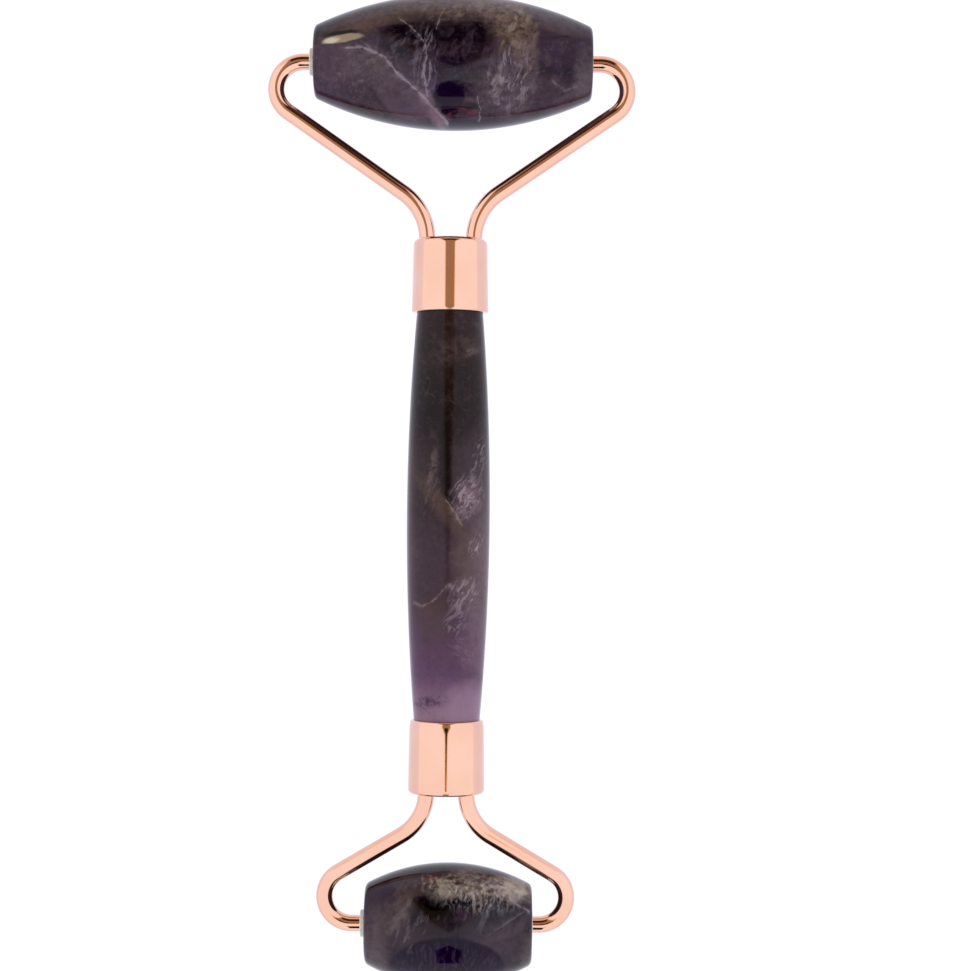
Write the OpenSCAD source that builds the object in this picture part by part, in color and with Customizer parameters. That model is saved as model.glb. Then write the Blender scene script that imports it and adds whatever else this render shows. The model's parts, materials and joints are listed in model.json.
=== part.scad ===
// Double-ended stone face roller.
// A turned stone handle carries a wire fork at each end, and each fork holds a
// barrel-shaped stone roller that turns freely on the fork's two wire ends.
// The roller lies on its two stones on the plane z = 0. X runs along the roller
// axles, +Y points to the large roller, +Z up. The origin is in the middle of
// the outline, on the plane that the stones rest on. Sizes are in millimetres.

/* [Handle] */
// Length of handle that shows between the two ferrules
handle_length = 61; // [50:1:75]
// Diameter at the middle of the handle
handle_mid_d = 12.45; // [11.6:0.05:14]
// Diameter of the handle's two tenons, and of the handle where it enters a ferrule
handle_end_d = 9.9; // [9.8:0.1:10.2]
// Length of the tenon inside each ferrule
tenon_length = 6; // [4:0.5:6.5]

/* [Ferrules] */
// Length of each ferrule
ferrule_length = 11; // [10.5:0.5:14]
// Thickness of the end wall that the wires pass through
end_wall = 0.9; // [0.6:0.1:1.2]
// Large ferrule's diameter at its wire end
large_ferrule_wire_d = 11.1; // [11:0.1:12]
// Large ferrule's diameter at its mouth
large_ferrule_mouth_d = 11.5; // [11:0.1:12]
// Small ferrule's diameter at its wire end
small_ferrule_wire_d = 11.5; // [11:0.1:12]
// Small ferrule's diameter at its mouth
small_ferrule_mouth_d = 11.2; // [11:0.1:12]
// Rounding of the large ferrule's wire end
large_shoulder = 0.9; // [0.4:0.1:1]
// Rounding of the small ferrule's wire end
small_shoulder = 0.6; // [0.4:0.1:1]
// Rounding of both mouths
mouth_edge = 0.3; // [0.1:0.1:0.4]

/* [Wire forks] */
// Diameter of the fork wire
wire_d = 2.5; // [2:0.1:2.6]
// Bend radius of the eye beside each roller, on the wire's centreline
eye_bend = 4.1; // [3:0.1:5]
// How far the wires reach into the ferrule past its end wall
wire_root = 3.2; // [2:0.2:3.2]
// How far each wire end reaches into its roller
wire_reach = 4.6; // [3:0.1:4.8]
// Large fork: distance from the middle to the centreline of each eye
large_fork_half = 26.3; // [26:0.1:30]
// Large fork: distance from the axle to the ferrule's end face
large_fork_drop = 26.4; // [25:0.1:32]
// Large fork: half the spacing of the two wires at the ferrule
large_leg = 3.5; // [3:0.1:3.6]
// Large fork: bend radius above the ferrule
large_leg_bend = 8.4; // [6:0.1:10]
// Small fork: distance from the middle to the centreline of each eye
small_fork_half = 18.15; // [18:0.05:20]
// Small fork: distance from the axle to the ferrule's end face
small_fork_drop = 19.7; // [19:0.1:24]
// Small fork: half the spacing of the two wires at the ferrule
small_leg = 3.0; // [2.8:0.1:3.5]
// Small fork: bend radius above the ferrule
small_leg_bend = 7.5; // [6:0.1:8]

/* [Large roller] */
// Length of the large stone
large_length = 41.5; // [36:0.5:42]
// Diameter at the middle of the large stone
large_mid_d = 20.1; // [18:0.1:22]
// Diameter of the large stone's ends before the edge is rounded
large_end_d = 10.7; // [9:0.1:14]
// Rounding of the large stone's end edges
large_edge = 0.9; // [0.5:0.1:1.2]
// How far the large stone sits towards +X on its wires
large_float = 0.2; // [0:0.05:0.3]

/* [Small roller] */
// Length of the small stone
small_length = 25; // [21:0.5:25]
// Diameter at the middle of the small stone
small_mid_d = 18.3; // [17:0.1:20]
// Diameter of the small stone's ends before the edge is rounded
small_end_d = 11.8; // [10:0.1:14]
// Rounding of the small stone's end edges
small_edge = 1.1; // [0.5:0.1:1.2]
// How far the small stone sits towards +X on its wires
small_float = 0.5; // [0:0.05:0.5]

/* [Bushes] */
// Outside diameter of a bush, and of the hole through each stone
bush_d = 3.6; // [3.2:0.1:4]
// Length of a bush inside its stone
bush_length = 5; // [4.8:0.1:6]
// Diameter of a bush's flange
flange_d = 4.1; // [4.1:0.1:5]
// Thickness of a bush's flange
flange_t = 0.75; // [0.5:0.05:0.75]
// Depth of the recess that takes the flange at the +X end of each stone
recess = 0.6; // [0.3:0.05:0.7]
// Gap all round between a wire end and its bush
bush_gap = 0.03; // [0.02:0.01:0.08]

/* [Hidden] */
$fn = 96;

wire_r = wire_d / 2;
tenon_r = handle_end_d / 2;
glue_gap = 0.05;
bore_r = tenon_r + glue_gap;
tenon_chamfer = 0.3;
wire_chamfer = 0.3;
// The wire is drawn this much thinner round a bend, and a bend runs this far into each straight
bend_thinning = 0.01;
bend_lap = 0.1;
braze_fillet = 0.7;
recess_gap = 0.05;

// Where the two axles lie along the handle, so that the whole outline is centred
span = large_fork_drop + small_fork_drop + 2 * ferrule_length + handle_length;
rise = (large_mid_d - small_mid_d) / 2;
tilt = asin(rise / span);
large_axle_y = (span - rise / cos(tilt)) / 2;
small_axle_y = large_axle_y - span;
handle_y = large_axle_y - large_fork_drop - ferrule_length - handle_length / 2;
lift = large_mid_d / 2 - large_axle_y * sin(tilt);

BRASS = [0.93, 0.68, 0.58];
STONE = [0.23, 0.17, 0.24];
PLASTIC = [0.85, 0.86, 0.86];
SOLDER = [0.80, 0.72, 0.55];
EPOXY = [0.90, 0.88, 0.80];

// The handle's line is laid so that both stones rest on z = 0
module laid() {
    translate([0, 0, lift]) rotate([tilt, 0, 0]) children();
}

// Puts a part drawn with its ferrule towards +Y at each end of the handle
module at_large() {
    laid() translate([0, large_axle_y, 0]) mirror([0, 1, 0]) children();
}

module at_small() {
    laid() translate([0, small_axle_y, 0]) children();
}

// Radius of the arc that spans a length and rises from one radius to another
function crown_r(half, mid_r, end_r) =
    (half * half + pow(mid_r - end_r, 2)) / (2 * (mid_r - end_r));

// Half of a barrel's outline beyond the radius r0, up to its crown
module crown(arc_r, mid_r, r0, half) {
    intersection() {
        translate([mid_r - arc_r, 0]) circle(r = arc_r, $fn = 720);
        translate([r0, -half]) square([mid_r - r0 + 1, 2 * half]);
    }
}

// ---------------------------------------------------------------- handle

module handle() {
    half = handle_length / 2;
    end = half + tenon_length;
    mid_r = handle_mid_d / 2;
    color(STONE) laid() translate([0, handle_y, 0]) rotate([-90, 0, 0]) rotate_extrude() {
        polygon([
            [0, -end], [tenon_r - tenon_chamfer, -end], [tenon_r, -end + tenon_chamfer],
            [tenon_r, end - tenon_chamfer], [tenon_r - tenon_chamfer, end], [0, end]
        ]);
        crown(crown_r(half, mid_r, tenon_r), mid_r, tenon_r, half);
    }
}

// -------------------------------------------------------------- ferrules

// A drawn cup. Its end wall starts at y = 0 and its mouth is at +Y
module ferrule_cup(wire_end_r, mouth_r, shoulder, leg) {
    top = ferrule_length;
    color(BRASS) difference() {
        rotate([-90, 0, 0]) rotate_extrude() {
            polygon([
                [0, 0], [wire_end_r - shoulder, 0], [wire_end_r, shoulder],
                [mouth_r, top - mouth_edge], [mouth_r - mouth_edge, top], [0, top]
            ]);
            translate([wire_end_r - shoulder, shoulder]) circle(r = shoulder);
            translate([mouth_r - mouth_edge, top - mouth_edge]) circle(r = mouth_edge);
        }
        translate([0, end_wall, 0]) rotate([-90, 0, 0]) cylinder(r = bore_r, h = top);
        wire_legs(leg, -1, end_wall + 1);
    }
}

// The straight ends of both wires, between two places along Y
module wire_legs(leg, from, to) {
    for (side = [-1, 1])
        translate([side * leg, from, 0]) rotate([-90, 0, 0]) cylinder(r = wire_r, h = to - from);
}

module large_ferrule() {
    at_large() translate([0, large_fork_drop, 0])
        ferrule_cup(large_ferrule_wire_d / 2, large_ferrule_mouth_d / 2, large_shoulder, large_leg);
}

module small_ferrule() {
    at_small() translate([0, small_fork_drop, 0])
        ferrule_cup(small_ferrule_wire_d / 2, small_ferrule_mouth_d / 2, small_shoulder, small_leg);
}

// Rings of braze where the wires come through the end wall, inside the cup
module braze_rings(leg) {
    translate([0, end_wall, 0]) intersection() {
        for (side = [-1, 1])
            translate([side * leg, 0, 0]) rotate([-90, 0, 0]) rotate_extrude()
                polygon([[wire_r, 0], [wire_r + braze_fillet, 0], [wire_r, braze_fillet]]);
        rotate([-90, 0, 0]) cylinder(r = bore_r, h = braze_fillet);
    }
}

module large_braze() {
    color(SOLDER) at_large() translate([0, large_fork_drop, 0]) braze_rings(large_leg);
}

module small_braze() {
    color(SOLDER) at_small() translate([0, small_fork_drop, 0]) braze_rings(small_leg);
}

// Cement that fills the cup between its end wall and the handle's tenon
module cement_plug(leg) {
    depth = ferrule_length - tenon_length - end_wall;
    difference() {
        translate([0, end_wall, 0]) rotate([-90, 0, 0]) cylinder(r = bore_r, h = depth);
        wire_legs(leg, -1, end_wall + wire_root);
        braze_rings(leg);
    }
}

module large_cement() {
    color(EPOXY) at_large() translate([0, large_fork_drop, 0]) cement_plug(large_leg);
}

module small_cement() {
    color(EPOXY) at_small() translate([0, small_fork_drop, 0]) cement_plug(small_leg);
}

// ------------------------------------------------------------ wire forks

// One bent wire. Its axle end lies along X at y = 0, and its root is at +Y:
// axle end, eye bend about c1, straight diagonal, bend about c2, straight root
module arm(half, drop, leg, leg_bend, tip_x) {
    c1 = [half - eye_bend, eye_bend];
    c2 = [leg + leg_bend, drop];
    d = c2 - c1;
    diagonal = atan2(d[0], d[1]) + acos((eye_bend + leg_bend) / norm(d));
    out = [sin(diagonal), cos(diagonal)];
    start = c1 + eye_bend * out;
    length = sqrt(d * d - pow(eye_bend + leg_bend, 2));
    axle = c1[0] - tip_x;
    color(BRASS) {
        translate([tip_x, 0, 0]) rotate([0, 90, 0]) rotate_extrude()
            polygon([[0, 0], [wire_r - wire_chamfer, 0], [wire_r, wire_chamfer], [wire_r, axle], [0, axle]]);
        bend(c1, eye_bend, -90, 180 - diagonal);
        translate([start[0], start[1], 0]) rotate([0, 0, 90 - diagonal]) rotate([-90, 0, 0])
            cylinder(r = wire_r, h = length);
        bend(c2, leg_bend, 180, 90 - diagonal);
        translate([leg, drop, 0]) rotate([-90, 0, 0])
            cylinder(r = wire_r, h = end_wall + wire_root);
    }
}

// A stretch of wire bent round a centre
module bend(centre, radius, from, sweep) {
    lap = bend_lap / radius * 180 / PI;
    translate([centre[0], centre[1], 0]) rotate([0, 0, from - lap])
        rotate_extrude(angle = sweep + 2 * lap)
            translate([radius, 0]) circle(r = wire_r - bend_thinning);
}

module large_arm(tip_x) {
    arm(large_fork_half, large_fork_drop, large_leg, large_leg_bend, tip_x);
}

module small_arm(tip_x) {
    arm(small_fork_half, small_fork_drop, small_leg, small_leg_bend, tip_x);
}

module large_left_arm() {
    at_large() mirror([1, 0, 0]) large_arm(large_length / 2 - wire_reach);
}

module large_right_arm() {
    at_large() large_arm(large_length / 2 - wire_reach);
}

module small_left_arm() {
    at_small() mirror([1, 0, 0]) small_arm(small_length / 2 - wire_reach);
}

module small_right_arm() {
    at_small() small_arm(small_length / 2 - wire_reach);
}

// --------------------------------------------------------------- rollers

// A barrel turned about X, drilled right through for its bushes
module stone(length, mid_d, end_d, edge) {
    half = length / 2;
    mid_r = mid_d / 2;
    arc_r = crown_r(half, mid_r, end_d / 2);
    arc_x = mid_r - arc_r;
    edge_x = arc_x + sqrt(pow(arc_r - edge, 2) - pow(half - edge, 2));
    meet = arc_r / (arc_r - edge);
    meet_x = arc_x + (edge_x - arc_x) * meet;
    meet_y = (half - edge) * meet;
    color(STONE) difference() {
        rotate([0, 90, 0]) rotate_extrude() {
            polygon([
                [0, -half], [edge_x, -half], [meet_x, -meet_y],
                [meet_x, meet_y], [edge_x, half], [0, half]
            ]);
            for (side = [-1, 1]) translate([edge_x, side * (half - edge)]) circle(r = edge);
            crown(arc_r, mid_r, meet_x, meet_y);
        }
        translate([-half - 1, 0, 0]) rotate([0, 90, 0]) cylinder(d = bush_d, h = length + 2);
        translate([half - recess, 0, 0]) rotate([0, 90, 0])
            cylinder(r = flange_d / 2 + recess_gap, h = recess + 1);
    }
}

// A flanged sleeve with its flange's inner face at x = 0, reaching towards -X
module bush() {
    color(PLASTIC) difference() {
        union() {
            translate([-bush_length, 0, 0]) rotate([0, 90, 0]) cylinder(d = bush_d, h = bush_length);
            rotate([0, 90, 0]) cylinder(d = flange_d, h = flange_t);
        }
        translate([-bush_length - 1, 0, 0]) rotate([0, 90, 0])
            cylinder(r = wire_r + bush_gap, h = bush_length + flange_t + 2);
    }
}

module large_roller() {
    at_large() translate([large_float, 0, 0])
        stone(large_length, large_mid_d, large_end_d, large_edge);
}

module small_roller() {
    at_small() translate([small_float, 0, 0])
        stone(small_length, small_mid_d, small_end_d, small_edge);
}

module large_left_bush() {
    at_large() translate([large_float - large_length / 2, 0, 0]) mirror([1, 0, 0]) bush();
}

module large_right_bush() {
    at_large() translate([large_float + large_length / 2 - recess, 0, 0]) bush();
}

module small_left_bush() {
    at_small() translate([small_float - small_length / 2, 0, 0]) mirror([1, 0, 0]) bush();
}

module small_right_bush() {
    at_small() translate([small_float + small_length / 2 - recess, 0, 0]) bush();
}

handle();
large_ferrule();
small_ferrule();
large_left_arm();
large_right_arm();
small_left_arm();
small_right_arm();
large_braze();
small_braze();
large_cement();
small_cement();
large_roller();
large_left_bush();
large_right_bush();
small_roller();
small_left_bush();
small_right_bush();
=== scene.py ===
"""Double-ended stone face roller: finished pieces, studio and camera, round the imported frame."""

import json
import math

import bmesh
import bpy
from bpy.props import FloatProperty, FloatVectorProperty, IntProperty, PointerProperty
from mathutils import Matrix, Vector


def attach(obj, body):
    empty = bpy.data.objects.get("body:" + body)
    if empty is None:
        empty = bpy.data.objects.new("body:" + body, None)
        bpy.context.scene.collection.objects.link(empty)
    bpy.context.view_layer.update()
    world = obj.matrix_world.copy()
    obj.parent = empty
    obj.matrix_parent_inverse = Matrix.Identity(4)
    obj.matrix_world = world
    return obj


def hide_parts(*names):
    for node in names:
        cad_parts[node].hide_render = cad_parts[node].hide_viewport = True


bl_info = {
    "name": "Stone face roller",
    "version": (1, 0, 0),
    "blender": (4, 5, 0),
    "location": "View3D > Sidebar > Face roller",
    "description": "Builds the finished pieces of a double-ended stone face roller",
    "category": "Object",
}

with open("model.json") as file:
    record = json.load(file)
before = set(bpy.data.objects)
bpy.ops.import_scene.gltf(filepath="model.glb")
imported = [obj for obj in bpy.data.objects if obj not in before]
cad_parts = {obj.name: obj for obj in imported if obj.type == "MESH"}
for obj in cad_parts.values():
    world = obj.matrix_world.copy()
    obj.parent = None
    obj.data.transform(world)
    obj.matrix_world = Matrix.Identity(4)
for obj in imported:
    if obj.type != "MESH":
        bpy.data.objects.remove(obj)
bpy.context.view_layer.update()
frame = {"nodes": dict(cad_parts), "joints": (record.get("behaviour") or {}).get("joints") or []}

MM = 0.001
ENDS = ("large", "small")
SIDES = ("left", "right")

# The white surround's strength, and the red, green and blue that its shine adds to a polished
# stone, with that shine's tint and level
TENT = 1.25
SHEEN = (0.0187, 0.0168, 0.0192)
SHEEN_TINT = (0.98, 0.88, 1.0, 1.0)
SHEEN_LEVEL = 0.17

# The camera's height over the axles, the width it sees there, its turn and what it looks at
CAMERA_HEIGHT = 335 * MM
SEEN_WIDTH = 145.65 * MM
CAMERA_SHIFT = 0.04
CAMERA_TURN = math.radians(0.48)
CAMERA_AIM = Vector((5.46 * MM, 1.32 * MM, 0.0))

# The frame's wires have this radius; the finished ones are a hair thinner, to stay inside its box
FRAME_WIRE_RADIUS = 1.25 * MM

# Small gaps, chamfers and roundings, and the width of the rings that make up a stone
WIRE_HOLE_GAP = 0.03 * MM
DRILL_REACH = 3 * MM
TENON_CHAMFER = 0.3 * MM
BORE_EDGE = 0.12 * MM
END_FLAT = 0.2 * MM
BUSH_EDGE = 0.18 * MM
STONE_RING = 0.84 * MM

# How far along a ferrule its rings lie, and where the small one's mouth starts to roll in
FERRULE_RINGS = (0.03, 0.1, 0.3, 0.5, 0.7, 0.86, 0.89, 0.92, 0.95, 0.975, 1.0)
ROLL_START = 0.86

# The floor's radius and corners, the light it gives, and the share of its colour it reflects
FLOOR_REACH = 3.0
FLOOR_CORNERS = 64
FLOOR_GLOW = (0.893, 0.893, 1.0, 1.0)
FLOOR_GLOW_STRENGTH = 1.12
FLOOR_SHARE = 0.02


# ------------------------------------------------------------------ frame

def joint_place(name):
    """Where a joint's axis passes, in the row frame."""
    for joint in frame["joints"]:
        if joint["name"] == name:
            return Vector(joint["pos_m"])
    raise ValueError(f"the frame has no joint called {name}")


AXLES = {end: joint_place(f"{end}_roller_spin") for end in ENDS}


def laid_matrix():
    """The handle's own frame: Y runs along the handle to the large axle, X along the axles."""
    along = (AXLES["large"] - AXLES["small"]).normalized()
    across = Vector((1, 0, 0))
    up = across.cross(along)
    place = Matrix((across, along, up)).transposed().to_4x4()
    place.translation = (AXLES["large"] + AXLES["small"]) / 2
    return place


LAID = laid_matrix()
UNLAID = LAID.inverted()


def laid_points(node):
    """A CAD node's corners in the handle's own frame."""
    return [UNLAID @ vertex.co for vertex in frame["nodes"][node].data.vertices]


def extent(node):
    """Lowest and highest corner of a CAD node in the handle's own frame."""
    points = laid_points(node)
    low = Vector([min(p[i] for p in points) for i in range(3)])
    high = Vector([max(p[i] for p in points) for i in range(3)])
    return low, high


def girth(node, place, within=0.45 * MM):
    """Radius of a CAD node that is round about the handle's line, near a place along that line."""
    near = [p for p in laid_points(node) if abs(p.y - place) < within]
    return max(math.hypot(p.x, p.z) for p in near)


AXLE_Y = {end: (UNLAID @ AXLES[end]).y for end in ENDS}


# -------------------------------------------------------------- properties

def length(name, description, default):
    """A length property, kept in metres."""
    return FloatProperty(name=name, description=description, default=default,
                         min=0.0, precision=5, subtype="DISTANCE", unit="LENGTH")


def colour(name, description, code):
    """A colour property, from the colour's hex code."""
    return FloatVectorProperty(name=name, description=description, default=linear(code),
                               size=3, min=0.0, max=1.0, subtype="COLOR")


def linear(code):
    """Scene-linear red, green and blue of a hex colour code."""
    parts = [int(code[i:i + 2], 16) / 255 for i in (0, 2, 4)]
    return tuple(c / 12.92 if c < 0.04045 else ((c + 0.055) / 1.055) ** 2.4 for c in parts)


def under_polish(code):
    """The stone colour that shows as a hex colour code once the white tent shines on its polish."""
    return tuple(max(0.0, part - sheen) / TENT for part, sheen in zip(linear(code), SHEEN))


class RollerSizes(bpy.types.PropertyGroup):
    """Sizes of the finished pieces that the frame's boxes don't give."""

    wire_radius: length("Wire radius", "Radius of the fork wire", 1.24 * MM)
    eye_bend: length("Eye bend", "Bend radius of the wire beside each stone", 4.1 * MM)
    large_leg_bend: length("Large leg bend", "Large fork's bend radius at its ferrule", 8.4 * MM)
    small_leg_bend: length("Small leg bend", "Small fork's bend radius at its ferrule", 7.5 * MM)
    wire_reach: length("Wire reach", "How far each wire end reaches into its stone", 4.6 * MM)
    large_end: length("Large end radius", "Radius of the large stone's ends", 5.35 * MM)
    small_end: length("Small end radius", "Radius of the small stone's ends", 5.9 * MM)
    large_edge: length("Large edge", "Rounding of the large stone's end edges", 0.9 * MM)
    small_edge: length("Small edge", "Rounding of the small stone's end edges", 1.1 * MM)
    stone_bore: length("Stone bore", "Radius of the hole through each stone", 1.8 * MM)
    bush_bore: length("Bush bore", "Radius of the hole through each bush", 1.28 * MM)
    flange: length("Flange radius", "Radius of a bush's flange", 2.05 * MM)
    flange_thick: length("Flange thickness", "Thickness of a bush's flange", 0.75 * MM)
    large_shoulder: length("Large shoulder", "Rounding of the large ferrule's wire end", 0.9 * MM)
    small_shoulder: length("Small shoulder", "Rounding of the small ferrule's wire end", 0.6 * MM)
    mouth_edge: length("Mouth edge", "Rounding of each ferrule's mouth", 0.3 * MM)
    small_roll: length("Small roll", "How far the small ferrule's mouth is rolled in", 0.12 * MM)
    end_wall: length("End wall", "Thickness of each ferrule's end wall", 0.9 * MM)
    ferrule_bore: length("Ferrule bore", "Radius of the space inside each ferrule", 5.0 * MM)
    steps_round: IntProperty(name="Steps round", description="Flats round each turned piece",
                             default=160, min=24, max=360)


class RollerColours(bpy.types.PropertyGroup):
    """Colours of the finishes."""

    gold: colour("Rose gold", "Plating on the ferrules and wires", "E7BCAA")
    bush: colour("Bush", "Clear plastic of the bushes", "D8D3CF")
    braze: colour("Braze", "Braze inside the ferrules", "C9B27E")
    cement: colour("Cement", "Cement inside the ferrules", "D9D2BE")
    floor: colour("Floor", "White floor", "F4F4F4")
    slot: colour("Slot", "Dim gap overhead between the white sides", "B19272")


# ------------------------------------------------------------ node building

class Web:
    """Adds nodes to a tree and links them as it goes."""

    def __init__(self, tree):
        self.tree = tree

    def feed(self, socket, value):
        """Links a socket to an output, or sets its value."""
        if isinstance(value, bpy.types.NodeSocket):
            self.tree.links.new(value, socket)
        else:
            socket.default_value = value

    def fill(self, node, feeds):
        """Feeds a node's inputs, by name or number."""
        for key, value in feeds.items():
            self.feed(node.inputs[key], value)

    def add(self, kind, feeds=None, **settings):
        """The first output of a new node, with its settings made and its inputs fed."""
        node = self.tree.nodes.new(kind)
        for key, value in settings.items():
            setattr(node, key, value)
        self.fill(node, feeds or {})
        return node.outputs[0]

    def math(self, operation, *values, clamp=False):
        """One step of arithmetic."""
        return self.add("ShaderNodeMath", dict(enumerate(values)), operation=operation,
                        use_clamp=clamp)

    def times(self, first, second):
        """One value times another."""
        return self.math("MULTIPLY", first, second)

    def plus(self, first, second):
        """One value and another together."""
        return self.math("ADD", first, second)

    def minus(self, first, second):
        """One value less another."""
        return self.math("SUBTRACT", first, second)

    def vector(self, operation, *values, out=0):
        """One step of vector arithmetic."""
        second = "Scale" if operation == "SCALE" else 1
        feeds = {second if index == 1 else index: value for index, value in enumerate(values)}
        return self.add("ShaderNodeVectorMath", feeds, operation=operation).node.outputs[out]

    def turned(self, vector, angle):
        """A vector turned about Z by an angle in radians."""
        return self.add("ShaderNodeVectorRotate", {"Vector": vector, "Angle": angle},
                        rotation_type="Z_AXIS")

    def split(self, vector):
        """A vector's three parts."""
        return self.add("ShaderNodeSeparateXYZ", {0: vector}).node.outputs

    def object_place(self):
        """Places in the object's own coordinates, in metres."""
        return self.add("ShaderNodeTexCoord").node.outputs["Object"]

    def fade(self, value, start, end, low=0.0, high=1.0, kind="SMOOTHSTEP"):
        """Smoothly goes from low to high as the value goes from start to end."""
        return self.add("ShaderNodeMapRange", {0: value, 1: start, 2: end, 3: low, 4: high},
                        interpolation_type=kind)

    def mix(self, factor, first, second):
        """Mixes two colours."""
        feeds = {0: factor}
        for index, value in ((6, first), (7, second)):
            if not isinstance(value, bpy.types.NodeSocket):
                value = (*value, 1.0)
            feeds[index] = value
        return self.add("ShaderNodeMix", feeds, data_type="RGBA").node.outputs[2]

    def noise(self, vector, scale, detail=4.0, roughness=0.55, colour=False):
        """Cloudy noise as a value, or as a colour."""
        made = self.add("ShaderNodeTexNoise", {
            "Vector": vector, "Scale": scale, "Detail": detail, "Roughness": roughness})
        return made.node.outputs["Color" if colour else "Fac"]

    def warp(self, vector, scale, amount, detail=3.0):
        """The vector pushed about by noise, by up to about half the amount."""
        push = self.noise(vector, scale, detail, 0.5, colour=True)
        centred = self.vector("SUBTRACT", push, (0.5, 0.5, 0.5))
        return self.vector("ADD", vector, self.vector("SCALE", centred, amount))

    def bump(self, height, strength, distance=0.05):
        """A surface normal raised by a height, with its distance in millimetres."""
        return self.add("ShaderNodeBump", {
            "Height": height, "Strength": strength, "Distance": distance * MM})

    def sweep(self, rail, profile, caps=False):
        """A profile curve swept along a rail that lies flat."""
        upright = self.add("GeometryNodeSetCurveNormal", {"Curve": rail}, mode="Z_UP")
        return self.add("GeometryNodeCurveToMesh", {
            "Curve": upright, "Profile Curve": profile, "Fill Caps": caps})

    def coat(self, geometry, material):
        """A tree's last two steps: real geometry with its material."""
        real = self.add("GeometryNodeRealizeInstances", {"Geometry": geometry})
        return self.add("GeometryNodeSetMaterial", {"Geometry": real, "Material": material})


def group_sockets(tree, inputs, outputs):
    """Names a node group's sockets. Each input is (name, type, default)."""
    for name, kind, default in inputs:
        socket = tree.interface.new_socket(name, in_out="INPUT", socket_type=kind)
        if default is not None:
            socket.default_value = default
    for name, kind in outputs:
        tree.interface.new_socket(name, in_out="OUTPUT", socket_type=kind)
    entry = tree.nodes.new("NodeGroupInput")
    leave = tree.nodes.new("NodeGroupOutput")
    return entry.outputs, leave.inputs


# ------------------------------------------------------- stone: mark groups

def patch_group():
    """A soft-edged ellipsoid in the stone: 1 inside, 0 outside."""
    tree = bpy.data.node_groups.get("Stone patch")
    if tree:
        return tree
    tree = bpy.data.node_groups.new("Stone patch", "ShaderNodeTree")
    web = Web(tree)
    given, result = group_sockets(tree, [
        ("Vector", "NodeSocketVector", None), ("Centre", "NodeSocketVector", None),
        ("Size", "NodeSocketVector", (1.0, 1.0, 1.0)), ("Turn", "NodeSocketFloat", 0.0),
        ("Softness", "NodeSocketFloat", 0.5)], [("Mask", "NodeSocketFloat")])
    away = web.vector("SUBTRACT", given["Vector"], given["Centre"])
    turned = web.turned(away, given["Turn"])
    reach = web.vector("LENGTH", web.vector("DIVIDE", turned, given["Size"]), out=1)
    outer = web.plus(1.0, given["Softness"])
    inner = web.minus(1.0, given["Softness"])
    web.feed(result["Mask"], web.fade(reach, outer, inner))
    return tree


def vein_group():
    """A thin sheet in the stone that stands on a straight line: 1 on the line, 0 away from it."""
    tree = bpy.data.node_groups.get("Stone vein")
    if tree:
        return tree
    tree = bpy.data.node_groups.new("Stone vein", "ShaderNodeTree")
    web = Web(tree)
    given, result = group_sockets(tree, [
        ("Vector", "NodeSocketVector", None), ("Start", "NodeSocketVector", None),
        ("End", "NodeSocketVector", None), ("Width", "NodeSocketFloat", 0.2)],
        [("Mask", "NodeSocketFloat")])
    flat = web.vector("MULTIPLY", given["Vector"], (1.0, 1.0, 0.0))
    away = web.vector("SUBTRACT", flat, given["Start"])
    run = web.vector("SUBTRACT", given["End"], given["Start"])
    share = web.math("DIVIDE", web.vector("DOT_PRODUCT", away, run, out=1),
                     web.vector("DOT_PRODUCT", run, run, out=1), clamp=True)
    nearest = web.vector("SCALE", run, share)
    gap = web.vector("DISTANCE", away, nearest, out=1)
    web.feed(result["Mask"], web.fade(gap, given["Width"], 0.0))
    return tree


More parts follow.
